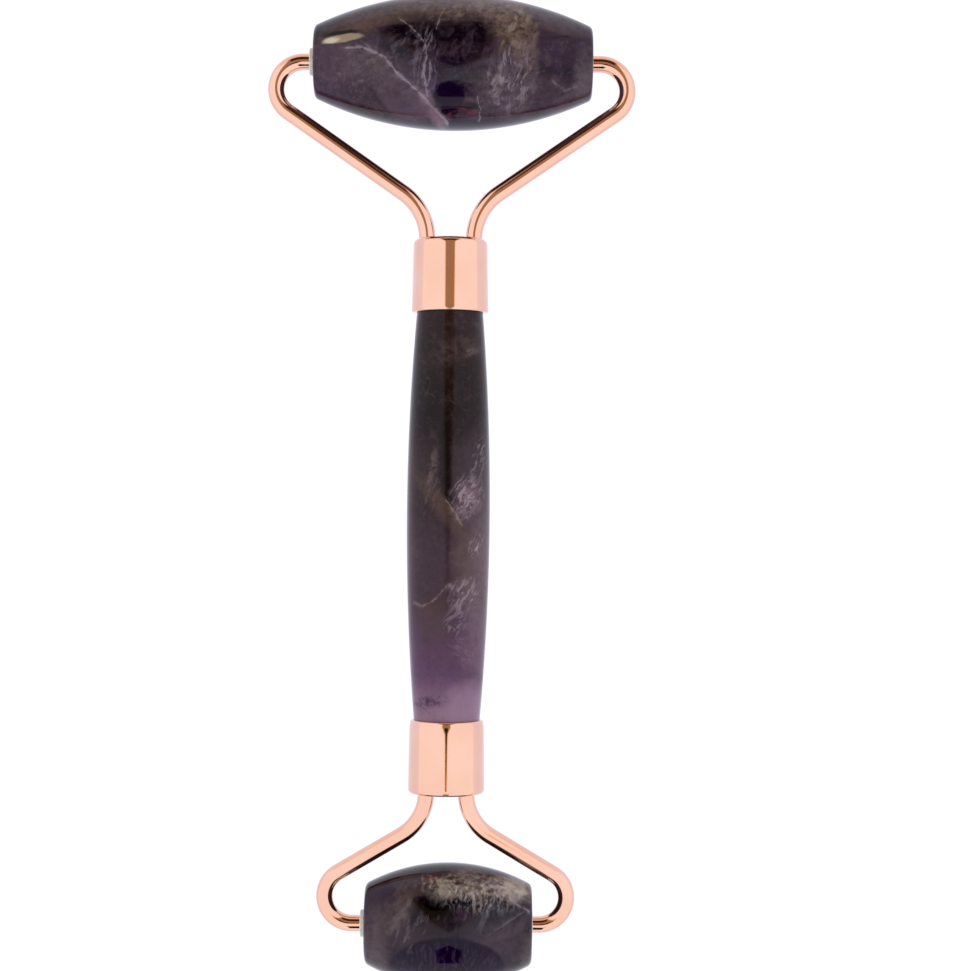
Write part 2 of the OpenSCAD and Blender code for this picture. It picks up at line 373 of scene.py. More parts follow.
class Stone(Web):
    """Builds a polished amethyst from a ground colour, clouds, patches, veins and flakes.
    Places and sizes are in millimetres from the stone's middle, with X across and Y along
    the handle."""

    def __init__(self, name, node):
        self.material = bpy.data.materials.new(name)
        self.material.use_nodes = True
        super().__init__(self.material.node_tree)
        low, high = extent(node)
        self.crest = 0.85 * high.z / MM
        centred = self.vector("SUBTRACT", self.object_place(), tuple(LAID @ ((low + high) / 2)))
        self.place = self.vector("SCALE", centred, 1 / MM)
        self.loose = self.warp(self.warp(self.place, 0.25, 1.8), 0.9, 0.8)
        self.tight = self.warp(self.warp(self.place, 0.35, 0.9), 1.6, 0.55)
        self.smooth = self.warp(self.place, 0.30, 1.6, 2.0)
        self.still = self.warp(self.place, 0.60, 0.35, 1.0)
        self.fibres = self.noise(self.loose, 0.9, 8.0, 0.68)
        self.swell = self.fade(self.noise(self.place, 0.9, 3.0), 0.32, 0.66, 0.30, 1.25)
        self.top = self.fade(self.split(self.place)[2], -3.0, 1.5)

    def lay(self, factor, code):
        """Lays a colour over what is painted so far."""
        self.paint = self.mix(factor, self.paint, under_polish(code))

    def ground(self, dark, light):
        """The two colours that the body of the stone wanders between."""
        cloud = self.fade(self.noise(self.loose, 0.16, 6.0, 0.6), 0.42, 0.66)
        self.paint = self.mix(cloud, under_polish(dark), under_polish(light))

    def run(self, stops):
        """Colours that follow the handle, each stop as (place along Y, colour code)."""
        along = self.split(self.loose)[1]
        self.paint = under_polish(stops[0][1])
        for (start, _), (end, code) in zip(stops, stops[1:]):
            self.lay(self.fade(along, start, end, kind="LINEAR"), code)

    def cloud(self, code, scale, low, high, strength, squash=(1.0, 1.0, 1.0)):
        """Clouds of a colour all through the stone."""
        drawn = self.vector("MULTIPLY", self.loose, squash)
        self.lay(self.fade(self.noise(drawn, scale, 7.0, 0.62), low, high, 0.0, strength), code)

    def mottle(self, light, dark, scale, strength):
        """Fine light and dark mottling all through the stone."""
        for code, shift in ((light, 0.0), (dark, 7.0)):
            moved = self.vector("ADD", self.loose, (shift, shift, shift))
            grain = self.noise(moved, scale, 6.0, 0.65)
            self.lay(self.fade(grain, 0.50, 0.70, 0.0, strength), code)

    def ridges(self, vector, scale, width, strength):
        """Thin wandering lines, where the noise crosses its middle."""
        gap = self.math("ABSOLUTE", self.minus(self.noise(vector, scale, 3.0, 0.5), 0.5))
        return self.fade(gap, width, 0.0, 0.0, strength)

    def threads(self, code, scale, width, strength):
        """Wispy threads all through the stone."""
        broken = self.fade(self.noise(self.loose, scale * 1.7, 4.0), 0.45, 0.62)
        self.lay(self.times(self.ridges(self.loose, scale, width, strength), broken), code)

    def mask(self, centre, size, turn, soft, coords=None):
        """Mask of one patch on the upper side of the stone, turned by degrees."""
        return self.add("ShaderNodeGroup", {
            "Vector": coords or self.loose, "Centre": (*centre, self.crest),
            "Size": (*size, self.crest), "Turn": math.radians(-turn), "Softness": soft},
            node_tree=patch_group())

    def patch(self, code, centre, size, turn, soft, strength, grain=0.0, coords=None):
        """A patch of a colour. Grain breaks it up into fibres."""
        factor = self.mask(centre, size, turn, soft, coords)
        if grain:
            factor = self.times(factor, self.fade(self.fibres, 0.36, 0.60, 1.0 - grain, 1.0))
        self.lay(self.times(factor, strength), code)

    def side(self, code, start, end, strength, reach=None):
        """Painted rim reflection: a colour band along one long side, only left of a reach if any.
        """
        across, along, _ = self.split(self.loose)
        factor = self.fade(along, start, end, 0.0, strength)
        if reach is not None:
            factor = self.times(factor, self.fade(across, reach + 2.0, reach - 2.0))
        self.lay(factor, code)

    def vein(self, code, points, width, strength, coords=None):
        """A crooked line through (x, y) points with a faint halo, which fades away under
        the stone."""
        broken = self.fade(self.fibres, 0.34, 0.58, 0.12, 1.0)
        for share, spread in ((0.22, 3.2), (1.0, 1.0)):
            swollen = self.times(self.swell, width * spread)
            reach = 0.0
            for start, end in zip(points, points[1:]):
                line = self.add("ShaderNodeGroup", {
                    "Vector": coords or self.tight, "Start": (*start, 0.0),
                    "End": (*end, 0.0), "Width": swollen}, node_tree=vein_group())
                reach = self.math("MAXIMUM", reach, line)
            factor = self.times(self.times(reach, broken), self.top)
            self.lay(self.times(factor, strength * share), code)

    def leaning(self, lean, stretch):
        """Places drawn out along a lean in degrees."""
        turned = self.turned(self.smooth, math.radians(-lean))
        return self.vector("MULTIPLY", turned, (1.0 / stretch, 1.0, 0.6))

    def wisps(self, code, centre, size, turn, lean, stretch, scale, width, strength):
        """A tangle of thin filaments that mostly lean one way."""
        inside = self.mask(centre, size, turn, 0.5)
        line = self.times(self.ridges(self.leaning(lean, stretch), scale, width, strength),
                          self.fade(self.fibres, 0.36, 0.62, 0.1, 1.0))
        self.lay(self.times(inside, line), code)

    def flakes(self, code, centre, size, turn, lean, stretch=4.0, scale=2.4, low=0.50,
               high=0.60, strength=0.8, soft=0.5):
        """A cluster of feathery flakes that all lean one way."""
        inside = self.mask(centre, size, turn, soft)
        streaks = self.noise(self.leaning(lean, stretch), scale, 5.0, 0.6)
        self.lay(self.times(inside, self.fade(streaks, low, high, 0.0, strength)), code)

    def finish(self, roughness=0.05):
        """Feeds the polish and the colour to the surface, and returns the material."""
        smudge = self.noise(self.place, 0.35, 4.0, 0.6)
        pits = self.times(self.noise(self.place, 2.2, 5.0, 0.65), 0.02)
        waves = self.times(self.noise(self.place, 0.16, 1.0, 0.4), 0.6)
        self.fill(self.tree.nodes["Principled BSDF"], {
            "Base Color": self.paint, "IOR": 1.54,
            "Roughness": self.fade(smudge, 0.3, 0.75, roughness, roughness + 0.06),
            "Specular IOR Level": SHEEN_LEVEL, "Specular Tint": SHEEN_TINT,
            "Normal": self.bump(self.plus(pits, waves), 0.12)})
        return self.material


# ---------------------------------------------------------- stone: recipes

def handle_stone():
    """Brown-black at the large end, through taupe and violet, to lilac at the small end."""
    stone = Stone("handle_amethyst", "handle")
    stone.run([(-31.0, "96788D"), (-27.0, "83647F"), (-23.4, "654A67"), (-19.9, "5F455E"),
               (-16.3, "564157"), (-12.8, "4B3A44"), (-5.7, "4A3B45"), (1.4, "3E3137"),
               (8.4, "3E3437"), (12.6, "30282B"), (15.5, "2D2628"), (22.6, "32292A"),
               (29.7, "382C2D")])
    stone.mottle("5E4C58", "2A2026", 0.45, 0.22)
    stone.mottle("6A5964", "241B20", 1.5, 0.16)
    stone.patch("84707A", (4.9, -8.0), (2.4, 12.0), 0, 0.6, 0.62, 0.35)
    stone.patch("7E6479", (4.6, -20.0), (2.6, 5.0), 0, 0.6, 0.5, 0.3)
    # Painted reflection: a dark streak down the middle deepens the reflected dark gap overhead.
    stone.patch("140C0E", (-0.3, 8.6), (0.85, 8.6), 0, 0.5, 0.75)
    stone.cloud("1E1719", 0.22, 0.55, 0.75, 0.35, (1.0, 0.5, 1.0))
    stone.cloud("75606E", 0.30, 0.58, 0.80, 0.30)
    stone.cloud("6B5A50", 0.24, 0.60, 0.80, 0.25, (1.0, 0.6, 1.0))
    stone.threads("6E5E66", 0.12, 0.008, 0.22)
    stone.patch("52444E", (3.6, 5.0), (2.6, 7.0), -6, 0.6, 0.6, 0.3)
    stone.patch("5C4B46", (-1.2, 1.6), (5.6, 1.1), -53, 0.6, 0.75, 0.4)
    stone.patch("645152", (2.6, -7.0), (1.6, 4.6), 8, 0.6, 0.7, 0.5)
    stone.patch("5A4946", (-2.0, -15.4), (2.4, 3.0), 20, 0.6, 0.6, 0.4)
    stone.patch("88727F", (2.9, 2.6), (1.8, 2.9), -20, 0.5, 0.8, 0.8)
    stone.flakes("B4A5B2", (2.6, 2.9), (2.0, 3.0), -20, 52, strength=0.55)
    stone.flakes("9C8E9A", (4.6, 8.4), (1.0, 3.2), -15, 56, strength=0.5)
    stone.vein("94847F", [(-0.3, 2.4), (0.5, 1.1), (1.1, 0.4), (2.1, -1.3)], 0.22, 0.7)
    stone.flakes("B2A4AE", (4.2, -4.3), (0.9, 1.8), -20, 62, strength=0.6)
    stone.patch("75606B", (2.4, -11.8), (1.8, 2.4), -20, 0.5, 0.7, 0.8)
    stone.vein("857478", [(-4.8, -12.9), (-3.6, -13.3), (-2.6, -12.8), (-1.6, -12.1), (-0.3, -10.6),
                          (0.6, -9.9)], 0.26, 0.7)
    stone.flakes("A898A6", (2.5, -11.6), (2.0, 2.4), -20, 60, strength=0.55)
    stone.flakes("94849A", (1.2, -15.6), (1.5, 2.2), -25, 54, strength=0.5)
    stone.wisps("8A7488", (2.6, -19.6), (2.6, 1.8), -30, -34, 3.0, 0.8, 0.04, 0.5)
    stone.patch("A285A0", (3.4, -28.4), (4.2, 3.6), 25, 0.4, 0.6)
    stone.patch("4C3850", (-2.6, -27.6), (2.8, 0.9), 10, 0.6, 0.9, 1.0)
    stone.patch("7C6C70", (-2.2, 7.2), (0.6, 2.4), -8, 0.6, 0.6, 1.0)
    stone.flakes("6E5E60", (-2.4, 4.6), (1.4, 3.6), -10, 65, strength=0.5)
    stone.patch("564646", (1.2, 24.6), (4.2, 1.6), 25, 0.6, 0.6, 1.0)
    stone.patch("6A5A5C", (3.4, 24.4), (1.6, 0.5), 20, 0.6, 0.7, 1.0)
    return stone.finish(0.13)


def large_stone():
    """Near-black violet with a taupe cloud on its right and a pale seam across its left."""
    stone = Stone("large_amethyst", "large_roller")
    stone.ground("2C212E", "4A3B49")
    stone.cloud("564849", 0.14, 0.54, 0.72, 0.6)
    stone.threads("877784", 0.10, 0.007, 0.30)
    stone.patch("2C252F", (-1.6, 0.8), (8.2, 4.0), 0, 0.45, 0.9, 0.3)
    stone.patch("594757", (-16.5, -2.0), (5.6, 4.8), 0, 0.5, 0.9, 0.3)
    stone.patch("5A4D54", (-11.5, -2.4), (5.0, 2.2), -10, 0.6, 0.8, 0.8)
    stone.patch("41323F", (-11.5, -6.4), (7.0, 2.0), -10, 0.5, 0.9, 0.2)
    stone.patch("5B4E5C", (-5.0, -4.9), (2.6, 2.0), 0, 0.5, 0.8, 0.6)
    stone.patch("6C5566", (-3.2, -8.0), (1.5, 2.9), 44, 0.35, 0.9, 0.4)
    stone.patch("84697A", (-2.3, -9.2), (1.0, 2.2), 40, 0.35, 0.85, 0.2)
    stone.patch("3E3A40", (1.6, -3.9), (3.6, 1.2), 0, 0.5, 0.8, 0.3)
    stone.patch("4F414B", (4.8, -6.2), (2.8, 2.6), 0, 0.5, 0.8, 0.7)
    stone.patch("665561", (8.3, -4.2), (3.4, 4.0), 10, 0.6, 0.9, 0.8)
    stone.patch("3C2B3B", (14.6, 0.8), (4.8, 3.2), 0, 0.25, 0.9, 0.1)
    stone.patch("483644", (13.6, -5.6), (4.4, 2.2), 8, 0.4, 0.8, 0.3)
    stone.patch("6A5C66", (19.6, -4.0), (1.6, 4.4), 0, 0.6, 0.8, 0.4)
    stone.patch("42363A", (-2.0, 4.8), (7.0, 1.5), 0, 0.6, 0.8, 0.5)
    stone.patch("63524B", (-11.5, 5.0), (7.6, 1.8), 16, 0.6, 0.9, 0.5)
    stone.patch("776660", (2.4, 7.4), (8.6, 2.0), 0, 0.6, 0.9, 0.8)
    stone.patch("63555E", (14.5, 5.0), (5.0, 1.5), -18, 0.5, 0.8, 0.4)
    stone.patch("87746A", (8.4, 3.8), (2.8, 3.8), 28, 0.6, 0.9, 0.8)
    stone.patch("745F5E", (10.6, 0.2), (1.7, 2.8), 15, 0.6, 0.9, 0.8)
    stone.mottle("6E5D68", "221824", 0.42, 0.30)
    stone.cloud("4A3660", 0.22, 0.46, 0.78, 0.30)
    stone.mottle("7A6A78", "1C131F", 1.5, 0.20)
    # Painted reflection: these two dark patches near the top darken the stone where the dark gap
    # overhead is reflected.
    stone.patch("1E161F", (-5.0, 2.4), (5.2, 2.6), 0, 0.6, 0.55, 0.5)
    stone.patch("1E161F", (2.4, 1.6), (4.4, 3.0), 0, 0.6, 0.40, 0.4)
    stone.flakes("A6968A", (8.6, 4.2), (3.2, 4.2), 28, 72, 3.0, 0.9, 0.48, 0.66, 0.55)
    stone.flakes("8E7F78", (2.0, 6.8), (7.6, 2.2), 0, 50, 2.0, 0.9, 0.50, 0.66, 0.5)
    stone.flakes("8F8089", (8.4, -4.4), (3.4, 4.4), 0, 78, 3.0, 0.9, 0.50, 0.66, 0.55)
    stone.flakes("A3949F", (8.2, -3.6), (3.0, 4.6), 0, 82, 4.5, 1.7, 0.52, 0.64, 0.55)
    stone.flakes("8F8290", (-3.9, -1.8), (1.5, 4.8), 0, 80, 5.0, 1.8, 0.50, 0.64, 0.65)
    stone.flakes("6A5F70", (-6.3, 0.2), (2.8, 3.0), 0, 40, 2.0, 0.8, 0.52, 0.66, 0.6)
    stone.flakes("4C3C4C", (3.0, 0.4), (5.0, 3.6), 0, 70, 2.0, 0.6, 0.50, 0.64, 0.8)
    stone.flakes("6A5E60", (-12.0, -2.6), (4.0, 3.0), 0, 20, 1.6, 0.7, 0.50, 0.68, 0.45)
    stone.flakes("7C6C76", (-14.0, -3.0), (5.0, 3.4), 0, 30, 2.0, 1.4, 0.54, 0.68, 0.4)
    stone.patch("655361", (-7.0, -7.0), (6.2, 2.6), -43, 0.12, 0.5, 0.4, stone.still)
    # Painted reflection: a dark violet band along the rim that faces the handle.
    stone.side("1C1430", -8.5, -9.6, 0.85)
    stone.patch("84697A", (-2.0, -9.8), (0.9, 1.8), 40, 0.4, 0.8, 0.2)
    stone.patch("2B2032", (-0.5, -6.8), (2.3, 2.2), 12, 0.12, 0.92, 0.0, stone.tight)
    stone.patch("241A2A", (2.6, -7.7), (1.4, 0.5), 5, 0.4, 0.8, 0.0, stone.tight)
    stone.vein("9C8D9A", [(-15.8, 0.6), (-13.2, 0.5), (-11.4, -0.3), (-9.9, -1.0), (-8.5, -3.0),
                          (-6.0, -4.9), (-4.1, -6.7), (-2.4, -8.2), (-0.8, -9.6)],
               0.32, 0.85, stone.still)
    stone.vein("8A7C88", [(-13.4, 1.6), (-11.4, -0.3)], 0.16, 0.7)
    stone.vein("95879A", [(-4.1, 1.6), (-3.6, -1.0), (-4.2, -3.4), (-3.5, -6.4)], 0.18, 0.8)
    stone.vein("A09290", [(-7.8, 4.8), (-6.0, 3.4), (-3.7, 0.2)], 0.16, 0.8)
    stone.vein("9A8C8A", [(-1.3, 6.4), (-1.9, 4.8), (-2.4, 2.8)], 0.15, 0.8)
    stone.vein("6E3E4C", [(-0.5, -8.6), (1.2, -8.1), (3.2, -8.3)], 0.36, 0.7)
    stone.vein("9A8A98", [(3.7, -6.4), (4.0, -8.0), (3.8, -9.4)], 0.14, 0.7)
    stone.vein("7A6A76", [(14.8, -3.9), (16.5, -5.0), (18.4, -4.2)], 0.40, 0.6)
    stone.vein("20161F", [(12.8, 1.9), (15.2, 2.5), (17.2, 2.8)], 0.30, 0.8)
    # Painted highlight: a cream teardrop with a bright tip and a dark line above it, a reflection
    # of the lights painted into the stone's left end.
    stone.patch("15101C", (-16.4, 2.9), (2.7, 0.42), 3, 0.4, 0.95, 0.0, stone.still)
    stone.patch("A4957F", (-16.2, 2.1), (3.0, 0.62), 4, 0.20, 0.95, 0.0, stone.still)
    stone.patch("DED6C2", (-17.9, 1.9), (1.2, 0.40), 8, 0.45, 0.9, 0.0, stone.still)
    return stone.finish()


def small_stone():
    """Dark violet with a cream cloud spotted with rust, and a taupe band."""
    stone = Stone("small_amethyst", "small_roller")
    stone.ground("282029", "423741")
    stone.cloud("4C4246", 0.16, 0.54, 0.72, 0.6)
    stone.threads("83757F", 0.12, 0.007, 0.30)
    stone.mottle("625660", "1E161E", 0.45, 0.28)
    stone.mottle("6E606A", "180F18", 1.5, 0.18)
    stone.patch("3D3040", (-9.5, 3.6), (3.2, 4.8), 0, 0.5, 0.9, 0.2)
    stone.patch("62535B", (-11.0, -2.0), (2.2, 5.0), 0, 0.6, 0.9, 0.5)
    stone.patch("5C4F50", (-7.4, 3.2), (1.5, 5.2), -28, 0.6, 0.9, 0.8)
    stone.flakes("74676A", (-6.8, 3.8), (2.4, 5.0), -28, 58, 3.0, 0.9, 0.48, 0.66, 0.6)
    stone.patch("4A3E44", (-4.8, 7.0), (3.4, 1.6), 10, 0.5, 0.8, 0.6)
    stone.patch("231D23", (-1.4, 2.6), (3.8, 2.6), 0, 0.4, 0.95, 0.1)
    stone.patch("3A3741", (5.8, 2.2), (4.8, 2.8), 0, 0.6, 0.85, 0.6)
    stone.flakes("666270", (6.0, 2.0), (5.0, 3.0), 0, 74, 3.0, 0.9, 0.50, 0.66, 0.6)
    stone.patch("463A44", (-4.6, -0.6), (4.6, 2.2), 12, 0.6, 0.85, 0.4)
    stone.patch("39303A", (0.8, -0.2), (4.0, 1.6), 0, 0.6, 0.8, 0.4)
    stone.patch("4E444E", (6.4, -1.6), (3.6, 2.6), -24, 0.6, 0.85, 0.4)
    stone.patch("4C424D", (9.4, -0.8), (3.0, 2.6), 0, 0.6, 0.8, 0.5)
    stone.patch("62575A", (12.2, -3.6), (1.3, 2.8), 0, 0.6, 0.8, 0.4)
    # Painted reflection: the dark dome in the stone's lower half stands in for a reflected dark
    # shape, and it turns with the stone.
    stone.patch("2A2032", (0.0, -6.0), (8.8, 5.6), 0, 0.05, 1.0, 0.0, stone.still)
    stone.flakes("46364F", (0.2, -5.6), (8.0, 4.6), 0, 88, 5.0, 2.0, 0.47, 0.63, 0.60, 0.25)
    stone.flakes("746876", (-5.0, 0.2), (4.2, 2.4), 20, 72, 3.5, 1.4, 0.52, 0.66, 0.5)
    # Painted reflection: a dark violet band along the rim that faces the handle, left of the
    # middle.
    stone.side("1A1428", 7.9, 9.0, 0.8, 1.0)
    stone.patch("6A463F", (-2.6, 7.5), (1.8, 0.7), 5, 0.6, 0.7, 0.6)
    stone.patch("A1968B", (0.3, 6.6), (2.6, 1.5), 0, 0.6, 0.9, 0.8)
    stone.patch("877A74", (4.6, 6.9), (3.8, 1.5), -8, 0.6, 0.9, 0.9)
    stone.patch("B4A7A4", (8.6, 5.8), (3.8, 1.1), -16, 0.5, 0.9, 0.7)
    stone.patch("CDC2BC", (9.8, 6.4), (2.8, 1.0), -18, 0.5, 0.8, 0.4)
    stone.flakes("8C858C", (4.6, 5.0), (5.4, 1.8), -6, 86, 5.0, 2.2, 0.47, 0.60, 0.8)
    stone.flakes("523A56", (1.8, 2.9), (1.1, 1.5), 0, 85, 4.0, 2.2, 0.46, 0.62, 0.6)
    stone.flakes("C6BBB2", (3.0, 6.4), (6.6, 1.5), -8, 76, 2.0, 1.8, 0.48, 0.62, 0.6)
    stone.flakes("4C3A34", (4.2, 7.0), (5.6, 1.0), -8, 4, 2.5, 1.5, 0.52, 0.62, 0.7)
    for x, y in ((0.7, 7.7), (1.5, 7.1), (4.6, 7.3), (7.5, 6.6), (6.2, 6.0)):
        stone.patch("38231A", (x, y), (1.0, 0.24), -8, 0.5, 0.9, 0.5)
    stone.vein("968AA0", [(9.3, 5.2), (10.0, 4.2), (10.8, 3.6), (12.0, 2.8)], 0.24, 0.7,
               stone.still)
    stone.vein("756A78", [(6.2, 0.0), (7.6, 0.8), (9.2, 1.9), (11.3, 2.9)], 0.24, 0.5, stone.still)
    stone.patch("5A4C58", (9.0, 0.4), (3.4, 0.7), 28, 0.6, 0.6, 0.5)
    return stone.finish()


# ------------------------------------------------------------ other finishes

def plain_material(name):
    """A new material, its surface node and a web for its tree."""
    material = bpy.data.materials.new(name)
    material.use_nodes = True
    return material, material.node_tree.nodes["Principled BSDF"], Web(material.node_tree)


def rose_gold(name, base, lines, roughness):
    """Polished rose-gold plating with faint polishing lines, drawn out along one axis or more."""
    material, surface, web = plain_material(name)
    place = web.vector("SCALE", web.object_place(), 1 / MM)
    marks = web.noise(web.vector("MULTIPLY", place, lines), 1.0, 4.0, 0.6)
    tone = web.fade(web.noise(place, 0.12, 2.0), 0.3, 0.7)
    deep = tuple(c * d for c, d in zip(base, (0.97, 0.93, 0.90)))
    peel = web.noise(place, 0.5, 2.0, 0.5)
    height = web.plus(web.times(marks, 0.12), web.times(peel, 0.35))
    web.fill(surface, {
        "Base Color": web.mix(tone, deep, tuple(base)), "Metallic": 1.0,
        "Roughness": web.fade(marks, 0.3, 0.7, roughness, roughness + 0.05),
        "Normal": web.bump(height, 0.10)})
    return material


def bush_plastic(name, base):
    """Milky clear plastic with faint flow marks."""
    material, surface, web = plain_material(name)
    flow = web.noise(web.vector("SCALE", web.object_place(), 1 / MM), 0.8, 4.0, 0.6)
    pale = tuple(min(1.0, c * 1.12) for c in base)
    web.fill(surface, {
        "Base Color": web.mix(web.fade(flow, 0.35, 0.65), tuple(base), pale),
        "Roughness": web.fade(flow, 0.3, 0.7, 0.22, 0.34), "IOR": 1.49,
        "Normal": web.bump(flow, 0.15)})
    return material


def grainy(name, base, scale, metallic, rough_low, rough_high):
    """A dull, grainy finish for what is sealed inside the ferrules."""
    material, surface, web = plain_material(name)
    grain = web.noise(web.vector("SCALE", web.object_place(), 1 / MM), scale, 6.0, 0.65)
    deep = tuple(c * 0.72 for c in base)
    web.fill(surface, {
        "Base Color": web.mix(web.fade(grain, 0.35, 0.65), deep, tuple(base)),
        "Metallic": metallic, "Roughness": web.fade(grain, 0.3, 0.7, rough_low, rough_high),
        "Normal": web.bump(grain, 0.5, 0.1)})
    return material


# ----------------------------------------------------------------- meshes

def arc(centre, radius, start, end, steps=10):
    """Points on an arc in the outline's plane, as (along, out), with angles in degrees."""
    points = []
    for step in range(steps + 1):
        angle = math.radians(start + (end - start) * step / steps)
        points.append((centre[0] + radius * math.cos(angle), centre[1] + radius * math.sin(angle)))
    return points


def lathe(outline, steps, axis):
    """A mesh turned about an axis, 0 for X or 1 for Y, from an outline of (along, out) points.
    An outline whose ends lie on the axis is open and gets poles; any other is a closed loop."""
    bm = bmesh.new()
    tiny = 1e-7
    rings = []
    for along, out in outline:
        count = 1 if out < tiny else steps
        ring = []
        for step in range(count):
            angle = 2 * math.pi * step / steps
            side, up = out * math.cos(angle), out * math.sin(angle)
            ring.append(bm.verts.new((along, side, up) if axis == 0 else (side, along, up)))
        rings.append(ring)
    pairs = list(zip(rings, rings[1:]))
    if outline[0][1] >= tiny:
        pairs.append((rings[-1], rings[0]))
    for first, second in pairs:
        for step in range(steps):
            after = (step + 1) % steps
            corners = [first[step % len(first)], first[after % len(first)],
                       second[after % len(second)], second[step % len(second)]]
            bm.faces.new(list(dict.fromkeys(corners)))
    bmesh.ops.recalc_face_normals(bm, faces=bm.faces)
    mesh = bpy.data.meshes.new("turned")
    bm.to_mesh(mesh)
    bm.free()
    return mesh


def placed(name, data):
    """A new object in the scene."""
    made = bpy.data.objects.new(name, data)
    bpy.context.scene.collection.objects.link(made)
    return made


def settle(name, mesh, material, offset=(0.0, 0.0, 0.0), sharp=35.0):
    """Puts a mesh from the handle's own frame in its place, and makes it a finished object."""
    mesh.transform(LAID @ Matrix.Translation(offset))
    mesh.name = name
    mesh.shade_smooth()
    mesh.set_sharp_from_angle(angle=math.radians(sharp))
    mesh.materials.clear()
    mesh.materials.append(material)
    return placed(name, mesh)


def hand_over(piece, body, node):
    """Parents a finished piece to the body it rides on, and hides the frame's node that it stands
    for.
    """
    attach(piece, body)
    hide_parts(node)


def grown(mesh, tree, inputs):
    """The plain mesh that a geometry tree makes of a mesh, with the tree's inputs set by name."""
    seed = placed("seed", mesh)
    modifier = seed.modifiers.new("grow", "NODES")
    modifier.node_group = tree
    for item in tree.interface.items_tree:
        if item.item_type == "SOCKET" and item.in_out == "INPUT" and item.name in inputs:
            modifier[item.identifier] = inputs[item.name]
    graph = bpy.context.evaluated_depsgraph_get()
    made = bpy.data.meshes.new_from_object(seed.evaluated_get(graph))
    seed.modifiers.remove(modifier)
    bpy.data.objects.remove(seed)
    return made


# --------------------------------------------------------- geometry trees

def barrel_tree():
    """Geometry tree of a barrel-shaped stone, turned about X and drilled right through."""
    tree = bpy.data.node_groups.new("Barrel stone", "GeometryNodeTree")
    web = Web(tree)
    given, result = group_sockets(tree, [
        ("Geometry", "NodeSocketGeometry", None), ("Length", "NodeSocketFloat", 0.04),
        ("Middle radius", "NodeSocketFloat", 0.01), ("End radius", "NodeSocketFloat", 0.005),
        ("Edge rounding", "NodeSocketFloat", 0.001), ("Bore radius", "NodeSocketFloat", 0.002),
        ("Rings", "NodeSocketInt", 50), ("Steps round", "NodeSocketInt", 160),
        ("Material", "NodeSocketMaterial", None)], [("Geometry", "NodeSocketGeometry")])
    half = web.times(given["Length"], 0.5)
    rise = web.minus(given["Middle radius"], given["End radius"])
    squares = web.plus(web.times(half, half), web.times(rise, rise))
    crown = web.math("DIVIDE", squares, web.times(rise, 2.0))

    last = web.plus(given["Rings"], 1.0)
    index = web.add("GeometryNodeInputIndex")
    steps = web.minus(given["Rings"], 1.0)
    share = web.math("DIVIDE", web.minus(index, 1.0), steps, clamp=True)
    along = web.times(web.minus(share, 0.5), given["Length"])
    fall = web.math("SQRT", web.minus(web.times(crown, crown),
                                     web.times(along, along)))
    out = web.plus(web.minus(given["Middle radius"], crown), fall)
    first_or_last = web.plus(web.math("LESS_THAN", index, 0.5),
                             web.math("GREATER_THAN", index, web.minus(last, 0.5)))
    drop = web.times(first_or_last, web.minus(out, given["Bore radius"]))
    out = web.minus(out, drop)

    line = web.add("GeometryNodeMeshLine", {"Count": web.plus(given["Rings"], 2.0)})
    outline = web.add("GeometryNodeSetPosition", {
        "Geometry": line, "Position": web.add("ShaderNodeCombineXYZ", {0: out, 1: along})})
    curve = web.add("GeometryNodeMeshToCurve", {"Mesh": outline})
    second = web.math("COMPARE", index, 1.0, 0.5)
    last_but_one = web.math("COMPARE", index, web.minus(last, 1.0), 0.5)
    corner = web.times(web.plus(second, last_but_one), given["Edge rounding"])
    rounded = web.add("GeometryNodeFilletCurve", {"Curve": curve, "Radius": corner,
                                                  "Count": 8}, mode="POLY")
    loop = web.add("GeometryNodeSetSplineCyclic", {"Geometry": rounded, "Cyclic": True})

    rail = web.add("GeometryNodeCurvePrimitiveCircle", {"Resolution": given["Steps round"],
                                                        "Radius": 1e-7})
    laid = web.add("GeometryNodeTransform", {"Geometry": web.sweep(rail, loop),
                                             "Rotation": (0.0, math.pi / 2, 0.0)})
    web.feed(result["Geometry"], web.coat(laid, given["Material"]))
    return tree


def wire_tree():
    """Geometry tree of a round wire bent along a path whose points carry their bend radius."""
    tree = bpy.data.node_groups.new("Bent wire", "GeometryNodeTree")
    web = Web(tree)
    given, result = group_sockets(tree, [
        ("Geometry", "NodeSocketGeometry", None), ("Wire radius", "NodeSocketFloat", 0.00125),
        ("Steps in a bend", "NodeSocketInt", 40), ("Steps round", "NodeSocketInt", 40),
        ("Material", "NodeSocketMaterial", None)], [("Geometry", "NodeSocketGeometry")])
    path = web.add("GeometryNodeMeshToCurve", {"Mesh": given["Geometry"]})
    radius = web.add("GeometryNodeInputNamedAttribute", {"Name": "bend"}, data_type="FLOAT")
    bent = web.add("GeometryNodeFilletCurve", {
        "Curve": path, "Radius": radius, "Count": given["Steps in a bend"]},
        mode="POLY")
    ring = web.add("GeometryNodeCurvePrimitiveCircle", {"Resolution": given["Steps round"],
                                                        "Radius": given["Wire radius"]})
    web.feed(result["Geometry"], web.coat(web.sweep(bent, ring, True), given["Material"]))
    return tree


# -------------------------------------------------------------- operators

